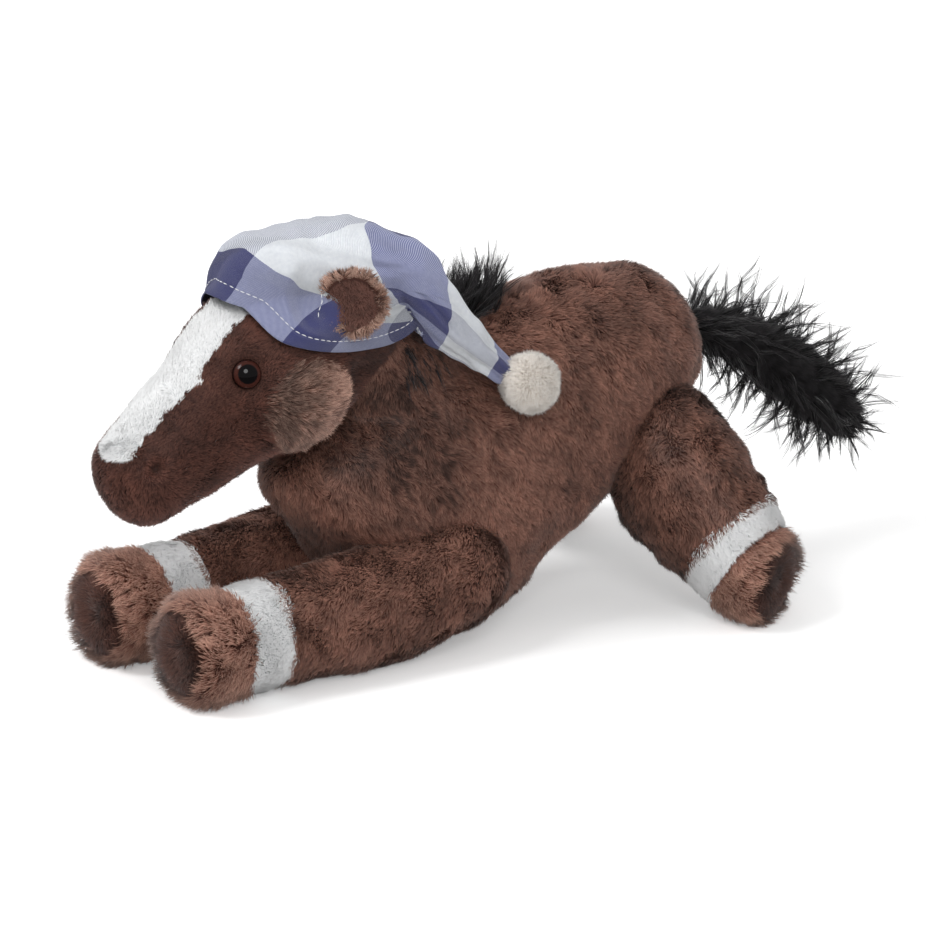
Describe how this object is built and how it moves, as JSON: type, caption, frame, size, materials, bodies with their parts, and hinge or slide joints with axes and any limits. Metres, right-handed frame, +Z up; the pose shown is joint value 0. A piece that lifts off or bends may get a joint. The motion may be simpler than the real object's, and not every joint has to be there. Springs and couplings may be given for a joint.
{
  "type": "plush horse in a nightcap",
  "caption": "Stuffed horse lying on its belly, with a blaze, white leg bands, black mane and tail, and a checked nightcap with a pompom.",
  "frame": {"origin": "on the floor, in the horse's middle plane and halfway along its length", "axes": "-Y is the way the horse faces, +X its left side, +Z up"},
  "size_m": [0.2824, 0.5752, 0.2694],
  "materials": {
    "plush_brown": "long brown pile",
    "plush_hoof": "long brown pile",
    "plush_sole": "dark brown pile",
    "plush_white": "white pile",
    "pile_black": "long black hair pile",
    "pompom_cream": "short cream pile",
    "ear_dark": "dark brown short pile",
    "check_blue": "checked twill",
    "eye_gloss": "polished",
    "washer_white": "moulded",
    "fibrefill": "loose polyester fibre"
  },
  "bodies": {
    "torso": {"body_cover": "plush_brown", "body_filling": "fibrefill", "mane": "pile_black"},
    "head": {"head_cover": "plush_brown", "head_filling": "fibrefill", "blaze": "plush_white", "left_eye": "eye_gloss", "right_eye": "eye_gloss", "left_eye_washer": "washer_white", "right_eye_washer": "washer_white", "cap_crown": "check_blue"},
    "left_ear": {"left_ear": "plush_brown", "left_ear_lining": "ear_dark"},
    "right_ear": {"right_ear": "plush_brown", "right_ear_lining": "ear_dark"},
    "cap_tail": {"cap_tail": "check_blue"},
    "pompom": {"pompom": "pompom_cream"},
    "left_foreleg": {"left_foreleg_cover": "plush_brown", "left_foreleg_band": "plush_white", "left_foreleg_hoof": "plush_hoof", "left_foreleg_sole": "plush_sole", "left_foreleg_filling": "fibrefill"},
    "right_foreleg": {"right_foreleg_cover": "plush_brown", "right_foreleg_band": "plush_white", "right_foreleg_hoof": "plush_hoof", "right_foreleg_sole": "plush_sole", "right_foreleg_filling": "fibrefill"},
    "left_hind_leg": {"left_hind_leg_cover": "plush_brown", "left_hind_leg_band": "plush_white", "left_hind_leg_hoof": "plush_hoof", "left_hind_leg_sole": "plush_sole", "left_hind_leg_filling": "fibrefill"},
    "right_hind_leg": {"right_hind_leg_cover": "plush_brown", "right_hind_leg_band": "plush_white", "right_hind_leg_hoof": "plush_hoof", "right_hind_leg_sole": "plush_sole", "right_hind_leg_filling": "fibrefill"},
    "tail": {"tail_cover": "pile_black", "tail_filling": "fibrefill"}
  },
  "joints": [
    {"name": "head_nod", "type": "hinge", "parent": "torso", "child": "head", "pos_m": [0, -0.10864, 0.19942], "axis": [1, 0, 0], "range_deg": [0, 12]},
    {"name": "left_foreleg_splay", "type": "hinge", "parent": "torso", "child": "left_foreleg", "pos_m": [0.04393, -0.06311, 0.04811], "axis": [0, 0, 1], "range_deg": [0, 20]},
    {"name": "right_foreleg_splay", "type": "hinge", "parent": "torso", "child": "right_foreleg", "pos_m": [-0.04393, -0.06311, 0.04811], "axis": [0, 0, -1], "range_deg": [0, 20]},
    {"name": "left_hind_leg_swing", "type": "hinge", "parent": "torso", "child": "left_hind_leg", "pos_m": [0.04501, 0.09874, 0.09368], "axis": [0, 0, 1], "range_deg": [-15, 15]},
    {"name": "right_hind_leg_swing", "type": "hinge", "parent": "torso", "child": "right_hind_leg", "pos_m": [-0.04501, 0.09874, 0.09368], "axis": [0, 0, -1], "range_deg": [-15, 15]},
    {"name": "tail_wag", "type": "hinge", "parent": "torso", "child": "tail", "pos_m": [0, 0.14498, 0.15732], "axis": [0, 0, 1], "range_deg": [-20, 20]},
    {"name": "left_ear_fold", "type": "hinge", "parent": "head", "child": "left_ear", "pos_m": [0.03929, -0.14833, 0.23108], "axis": [0.2207, -0.0908, -0.9711], "range_deg": [0, 20]},
    {"name": "right_ear_fold", "type": "hinge", "parent": "head", "child": "right_ear", "pos_m": [-0.03929, -0.14833, 0.23108], "axis": [0.2207, 0.0908, 0.9711], "range_deg": [0, 20]},
    {"name": "cap_tail_lift", "type": "hinge", "parent": "head", "child": "cap_tail", "pos_m": [0.02778, -0.0762, 0.25197], "axis": [0.7604, -0.6494, 0], "range_deg": [0, 40]},
    {"name": "pompom_swing", "type": "hinge", "parent": "cap_tail", "child": "pompom", "pos_m": [0.06149, -0.03672, 0.17527], "axis": [0.7604, -0.6494, 0], "range_deg": [0, 30]}
  ]
}
